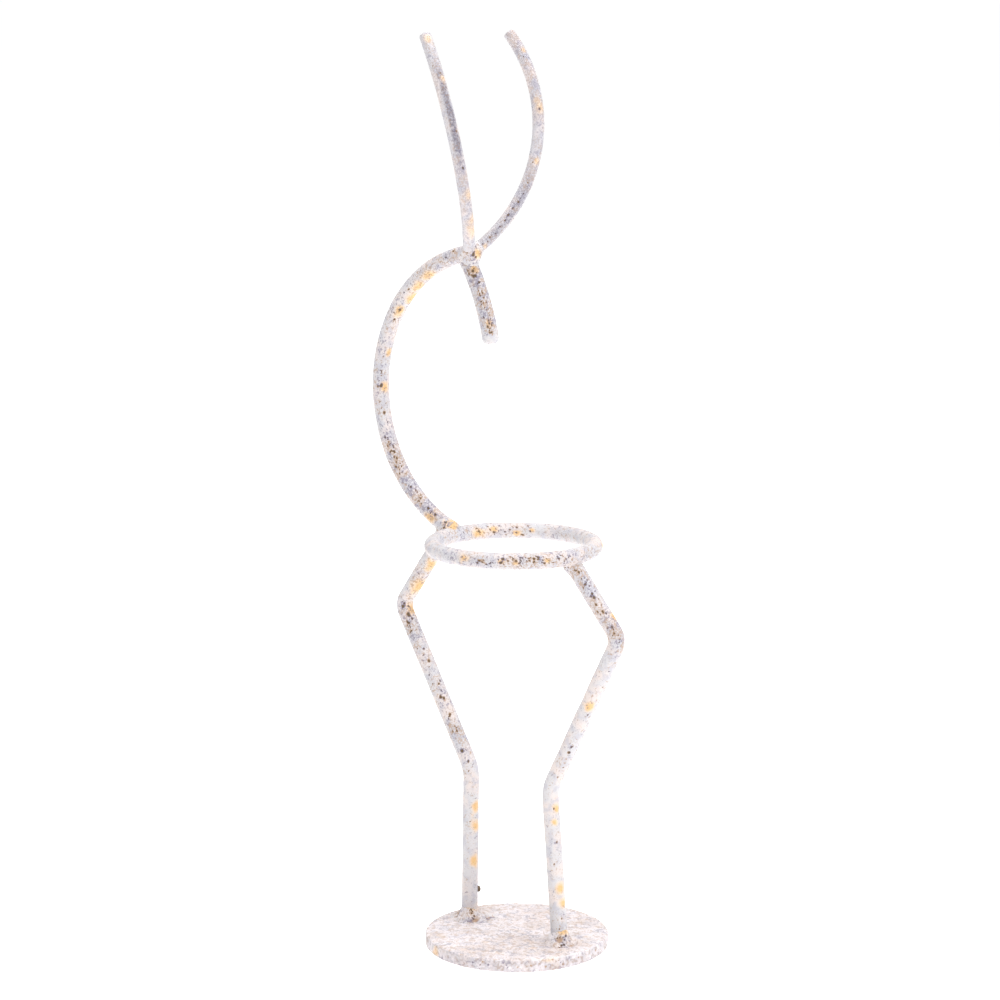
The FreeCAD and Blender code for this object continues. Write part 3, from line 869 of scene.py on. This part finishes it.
class HareStage(bpy.types.PropertyGroup):
    """Camera and lights."""

    lens: bpy.props.FloatProperty(
        name="Lens", description="Focal length of the camera in millimetres", default=110.0, min=1.0)
    azimuth: bpy.props.FloatProperty(
        name="Azimuth", description="Turn of the camera from the hare's right side",
        default=math.radians(42.0), subtype="ANGLE")
    pitch: bpy.props.FloatProperty(
        name="Pitch", description="How far down the camera looks",
        default=math.radians(10.29), subtype="ANGLE")
    distance: bpy.props.FloatProperty(
        name="Distance", description="Camera to target", default=937.9 * MM, unit="LENGTH")
    target: bpy.props.FloatVectorProperty(
        name="Target", description="Point in the middle of the view", subtype="TRANSLATION",
        default=(-3.92 * MM, -3.53 * MM, 141.83 * MM))
    sky: bpy.props.FloatProperty(
        name="Sky", description="Strength of the light from all round", default=0.50, min=0.0)
    floor_glow: bpy.props.FloatProperty(
        name="Floor glow", description="Light that the floor gives off", default=0.56, min=0.0)
    key: bpy.props.FloatProperty(
        name="Key", description="Power of the large light before the hare", default=13.0, min=0.0,
        unit="POWER")
    overhead: bpy.props.FloatProperty(
        name="Overhead", description="Power of the large light above", default=18.0, min=0.0, unit="POWER")
    fill: bpy.props.FloatProperty(
        name="Fill", description="Power of the light near the camera", default=2.5, min=0.0, unit="POWER")


class HARE_OT_plate(bpy.types.Operator):
    """Round plate with a finely wrinkled top"""

    bl_idname = "hare.plate"
    bl_label = "Plate"

    def execute(self, context):
        sizes = context.scene.hare_sizes
        colours = context.scene.hare_colours
        skin = plate_skin()
        upper = ease(skin.points[..., 2], 0.3 * MM, 0.8 * MM)
        wrinkles = sizes.relief * upper * layered(skin.points, PLATE_WRINKLES, 3)

        random = np.random.default_rng(11)
        pitted = np.zeros(skin.points.shape[:2])
        all_round = random.uniform(0.0, 2 * math.pi, 30)
        front_right = random.normal(-0.85, 0.45, 14)
        for angle in np.concatenate([all_round, front_right]):
            height = random.uniform(0.35, 1.0) * PLATE_TOP
            centre = np.array([PLATE_RADIUS * math.cos(angle), PLATE_RADIUS * math.sin(angle), height])
            size = random.uniform(RIM_PIT_LEAST, RIM_PIT_MOST)
            reach = np.linalg.norm(skin.points - centre, axis=-1) / size
            pitted = np.maximum(pitted, RIM_PIT_SHADE * dent(reach))
        skin.push(wrinkles - sizes.pit_depth * pitted)

        level = ease(skin.outward[..., 2], 0.3, 0.9)
        skin.marks["pits"] = pitted
        skin.marks["flecks"] = 0.5 + 0.2 * level + 0.05 * lumps(skin.points, 10 * MM, 5)
        skin.marks["ochre"] = (0.7 - 0.35 * level) * ease(lumps(skin.points, 5 * MM, 6), 0.35, 0.75) * upper
        # Painted shade: the grey mark darkens the plate's side and underside towards slate.
        skin.marks["grey"] = 0.40 * (1.0 - level)
        material = flecked_paint(
            "aged_plate_paint", colours, colours.plate,
            fleck_cell=1.15 * MM, fleck_low=0.66, rubbed=0.38, cool=0.3, warm_low=0.38)
        finish_piece("flecked_plate", "base_plate", skin, material)
        return {"FINISHED"}


class HARE_OT_legs(bpy.types.Operator):
    """Two bent legs from the plate to the ring"""

    bl_idname = "hare.legs"
    bl_label = "Legs"

    def execute(self, context):
        sizes = context.scene.hare_sizes
        legs = [
            ("front_leg", FRONT_LEG, FRONT_LEG_STAINS, FRONT_LEG_PITS, 0.72, 21),
            ("rear_leg", REAR_LEG, REAR_LEG_STAINS, REAR_LEG_PITS, 0.37, 31),
        ]
        for node, corners, stains, pits, clean_share, seed in legs:
            line = bent_line(corners, (ANKLE_BEND, KNEE_BEND))
            skin = rod_skin(line, ACROSS, ROD_RADIUS, HIDDEN_END_ROUND, HIDDEN_END_ROUND)
            share = skin.along / skin.along[-1, 0]
            flecked = at_least(AWAY_FROM_FLICKS, ease(share, clean_share, clean_share + 0.1))
            wear(skin, stains, pits, crowd=40, seed=seed, depth=sizes.pit_depth, relief=sizes.relief,
                 fleck_share=flecked)
            finish_piece("bent_" + node, node, skin, rod_material(context))
        return {"FINISHED"}


class HARE_OT_ring(bpy.types.Operator):
    """Level ring that holds what is set into it"""

    bl_idname = "hare.ring"
    bl_label = "Ring"

    def execute(self, context):
        sizes = context.scene.hare_sizes
        skin = ring_skin()
        wear(skin, RING_STAINS, RING_PITS, crowd=90, seed=41, depth=sizes.pit_depth, relief=sizes.relief,
             fleck_share=0.7)
        finish_piece("round_ring", "ring", skin, rod_material(context))
        return {"FINISHED"}


class HARE_OT_neck(bpy.types.Operator):
    """Neck in one long bow from the brow to the ring, and the snout below the brow"""

    bl_idname = "hare.neck"
    bl_label = "Neck and snout"

    def execute(self, context):
        sizes = context.scene.hare_sizes
        skin = rod_skin(neck_line(), ACROSS, ROD_RADIUS, HIDDEN_END_ROUND, HIDDEN_END_ROUND)
        wear(skin, NECK_STAINS, NECK_PITS, crowd=65, seed=51, depth=sizes.pit_depth, relief=sizes.relief,
             stained_from=NECK_STAINED_FROM)
        finish_piece("bowed_neck", "neck", skin, rod_material(context))
        skin = rod_skin(snout_line(), ACROSS, ROD_RADIUS, HIDDEN_END_ROUND, SNOUT_TIP_ROUND)
        wear(skin, SNOUT_STAINS, SNOUT_PITS, crowd=40, seed=61, depth=sizes.pit_depth, relief=sizes.relief)
        bare = ease(skin.along[-1, 0] - skin.along, SNOUT_BARE_TIP, SNOUT_BARE_TIP + 0.4 * MM)
        skin.marks["flecks"] = skin.marks["flecks"] * bare
        skin.marks["pits"] = skin.marks["pits"] * bare
        finish_piece("snout_rod", "snout", skin, rod_material(context))
        return {"FINISHED"}


class HARE_OT_ears(bpy.types.Operator):
    """A mirror pair of thin, bowed ears"""

    bl_idname = "hare.ears"
    bl_label = "Ears"

    def execute(self, context):
        sizes = context.scene.hare_sizes
        colours = context.scene.hare_colours
        material = flecked_paint(
            "aged_ear_paint", colours, colours.ear, fleck_cell=0.6 * MM, fleck_low=0.66, rubbed=0.34)
        ears = [
            ("left_ear", 1, LEFT_EAR_STAINS, LEFT_EAR_PITS, (0.02, 0.45, 0.4), 71),
            ("right_ear", -1, RIGHT_EAR_STAINS, RIGHT_EAR_PITS, (0.42, 0.90, 0.85), 81),
        ]
        fade = 0.12
        for node, side, stains, pits, streak, seed in ears:
            forward, upward = ear_plane(side)
            across = np.cross(upward, forward)
            skin = rod_skin(ear_line(side), across, EAR_ROD_RADIUS, HIDDEN_END_ROUND, EAR_TIP_ROUND)
            wear(skin, stains, pits, crowd=5, seed=seed, depth=0.6 * sizes.pit_depth,
                 relief=0.7 * sizes.relief)
            streak_start, streak_end, streak_depth = streak
            share = skin.along / skin.along[-1, 0]
            streaked = ease(share, streak_start, streak_start + fade)
            streaked = streaked * (1.0 - ease(share, streak_end - fade, streak_end))
            ragged = 0.10 * lumps(skin.points, 2 * MM, seed + 6)
            bare = ease(skin.facing(EAR_BARE_FROM) + ragged, 0.66, 1.0)
            skin.marks["grey"] = bare * (0.15 + streak_depth * streaked)
            skin.marks["ochre"] = 0.65 * skin.marks["ochre"]
            finish_piece("bowed_" + node, node, skin, material)
        return {"FINISHED"}


class HARE_OT_rod_welds(bpy.types.Operator):
    """Welds of the head and of both sides of the ring"""

    bl_idname = "hare.rod_welds"
    bl_label = "Rod welds"

    def execute(self, context):
        sizes = context.scene.hare_sizes
        colours = context.scene.hare_colours
        material = flecked_paint(
            "aged_weld_paint", colours, colours.coat, fleck_cell=0.85 * MM, fleck_low=0.67, rubbed=0.65)
        neck, snout, ring = [(line, ROD_RADIUS) for line in (neck_line(), snout_line(), ring_line())]
        front_leg, rear_leg = [
            (bent_line(corners, (ANKLE_BEND, KNEE_BEND)), ROD_RADIUS) for corners in (FRONT_LEG, REAR_LEG)]
        ears = [(ear_line(side), EAR_ROD_RADIUS) for side in (1, -1)]
        welds = [
            ("head_weld", HEAD_WELD, HEAD_WELD_REACH, [neck, snout, *ears],
             HEAD_WELD_STAINS, HEAD_WELD_PITS, 91),
            ("rear_ring_weld", REAR_RING_WELD, REAR_RING_WELD_REACH, [neck, ring, rear_leg],
             REAR_RING_WELD_STAINS, REAR_RING_WELD_PITS, 95),
            ("front_ring_weld", FRONT_RING_WELD, FRONT_RING_WELD_REACH, [ring, front_leg],
             FRONT_RING_WELD_STAINS, FRONT_RING_WELD_PITS, 99),
        ]
        for node, middle, reach, rods, stains, pits, seed in welds:
            skin = weld_skin(middle, reach, rods, sizes.weld_bulge, sizes.weld_ripple, seed)
            wear(skin, stains, pits, crowd=14, seed=seed, depth=0.6 * sizes.pit_depth, narrow=1.0)
            finish_piece("run_" + node, node, skin, material)
        return {"FINISHED"}


class HARE_OT_foot_welds(bpy.types.Operator):
    """Weld collars where the legs stand on the plate"""

    bl_idname = "hare.foot_welds"
    bl_label = "Foot welds"

    def execute(self, context):
        sizes = context.scene.hare_sizes
        colours = context.scene.hare_colours
        ground = [(rod + plate) / 2 for rod, plate in zip(colours.coat, colours.plate)]
        material = flecked_paint(
            "aged_collar_paint", colours, ground,
            fleck_cell=0.85 * MM, fleck_low=0.64, rubbed=0.5, cool=0.3, warm_low=0.36)
        feet = [
            ("front_foot_weld", FRONT_LEG, FRONT_FOOT_REACH, 0.2, FRONT_FOOT_STAINS, FRONT_FOOT_PITS, 101),
            ("rear_foot_weld", REAR_LEG, REAR_FOOT_REACH, 0.4, REAR_FOOT_STAINS, REAR_FOOT_PITS, 105),
        ]
        for node, corners, reach, lobe, stains, pits, seed in feet:
            ripple = COLLAR_ROUGHNESS * sizes.weld_ripple
            skin = foot_weld_skin(corners[0, 0], reach, sizes.collar_rise, lobe, ripple, seed)
            wear(skin, stains, pits, crowd=22, seed=seed, depth=0.6 * sizes.pit_depth, fleck_share=0.8,
                 narrow=1.0)
            # Painted shade in the crevices between the beads: darkened like the pits, and a little towards
            # slate.
            crevice_shade = skin.marks["grey"]
            skin.marks["pits"] = np.maximum(skin.marks["pits"], 0.34 * crevice_shade)
            skin.marks["grey"] = 0.15 * crevice_shade
            finish_piece("run_" + node, node, skin, material)
        return {"FINISHED"}


class HARE_OT_spatter(bpy.types.Operator):
    """Burnt bead of weld spatter on the rear leg"""

    bl_idname = "hare.spatter"
    bl_label = "Spatter"

    def execute(self, context):
        skin = spatter_skin(SPATTER_HALF, seed=111)
        material = scale_paint("burnt_scale", context.scene.hare_colours)
        finish_piece("burnt_spatter", "spatter_bead", skin, material)
        return {"FINISHED"}


class HARE_OT_stage(bpy.types.Operator):
    """Pale floor, soft light and the camera"""

    bl_idname = "hare.stage"
    bl_label = "Stage"

    def floor(self, stage):
        """A large, level, softly glowing floor."""
        turns = [(-1, -1), (1, -1), (1, 1), (-1, 1)]
        corners = [(FLOOR_REACH * x, FLOOR_REACH * y, 0.0) for x, y in turns]
        mesh = bpy.data.meshes.new("floor")
        mesh.from_pydata(corners, [], [(0, 1, 2, 3)])
        floor = bpy.data.objects.new("floor", mesh)
        bpy.context.scene.collection.objects.link(floor)
        paint = Paint("floor_white")
        paint.feed(paint.shader.inputs["Base Color"], FLOOR_PAINT)
        paint.feed(paint.shader.inputs["Roughness"], 0.9)
        paint.feed(paint.shader.inputs["Specular IOR Level"], 0.0)
        paint.feed(paint.shader.inputs["Emission Color"], WHITE)
        paint.feed(paint.shader.inputs["Emission Strength"], stage.floor_glow)
        mesh.materials.append(paint.material)

    def light(self, name, power, place, width, target):
        """A round lamp that faces the target."""
        lamp = bpy.data.lights.new(name, "AREA")
        lamp.shape = "DISK"
        lamp.size = width
        lamp.energy = power
        lamp_object = bpy.data.objects.new(name, lamp)
        lamp_object.location = place
        lamp_object.rotation_euler = (target - Vector(place)).to_track_quat("-Z", "Y").to_euler()
        bpy.context.scene.collection.objects.link(lamp_object)

    def execute(self, context):
        stage = context.scene.hare_stage
        target = Vector(stage.target)
        self.floor(stage)
        self.light("key", stage.key, KEY_PLACE, KEY_WIDTH, target)
        self.light("overhead", stage.overhead, OVERHEAD_PLACE, OVERHEAD_WIDTH, target)
        self.light("fill", stage.fill, FILL_PLACE, FILL_WIDTH, target)

        world = bpy.data.worlds.new("white_room")
        world.use_nodes = True
        background = world.node_tree.nodes["Background"]
        background.inputs["Color"].default_value = WHITE
        background.inputs["Strength"].default_value = stage.sky
        context.scene.world = world
        context.scene.view_settings.view_transform = "Standard"

        camera = bpy.data.cameras.new("camera")
        camera.lens = stage.lens
        camera.clip_end = CAMERA_SEES_TO
        level = math.cos(stage.pitch) * stage.distance
        height = math.sin(stage.pitch) * stage.distance
        offset = Vector((level * math.sin(stage.azimuth), -level * math.cos(stage.azimuth), height))
        camera_object = bpy.data.objects.new("camera", camera)
        camera_object.location = target + offset
        camera_object.rotation_euler = (-offset).to_track_quat("-Z", "Y").to_euler()
        context.scene.collection.objects.link(camera_object)
        context.scene.camera = camera_object
        return {"FINISHED"}


OPERATORS = (
    HARE_OT_stage,
    HARE_OT_plate,
    HARE_OT_legs,
    HARE_OT_ring,
    HARE_OT_neck,
    HARE_OT_ears,
    HARE_OT_rod_welds,
    HARE_OT_foot_welds,
    HARE_OT_spatter,
)


class HARE_PT_panel(bpy.types.Panel):
    """Lists the sizes, the colours, the stage and the steps"""

    bl_label = "Hare Ring Holder"
    bl_idname = "HARE_PT_panel"
    bl_space_type = "VIEW_3D"
    bl_region_type = "UI"
    bl_category = "Hare"

    def draw(self, context):
        layout = self.layout
        for group in (context.scene.hare_sizes, context.scene.hare_colours, context.scene.hare_stage):
            for name in group.__annotations__:
                layout.prop(group, name)
        for operator in OPERATORS:
            layout.operator(operator.bl_idname)


CLASSES = (HareSizes, HareColours, HareStage, *OPERATORS, HARE_PT_panel)


def register():
    for item in CLASSES:
        bpy.utils.register_class(item)
    bpy.types.Scene.hare_sizes = bpy.props.PointerProperty(type=HareSizes)
    bpy.types.Scene.hare_colours = bpy.props.PointerProperty(type=HareColours)
    bpy.types.Scene.hare_stage = bpy.props.PointerProperty(type=HareStage)


def unregister():
    del bpy.types.Scene.hare_stage
    del bpy.types.Scene.hare_colours
    del bpy.types.Scene.hare_sizes
    for item in reversed(CLASSES):
        bpy.utils.unregister_class(item)


def main():
    register()
    for operator in OPERATORS:
        group, name = operator.bl_idname.split(".")
        getattr(getattr(bpy.ops, group), name)()


if __name__ == "__main__":
    main()
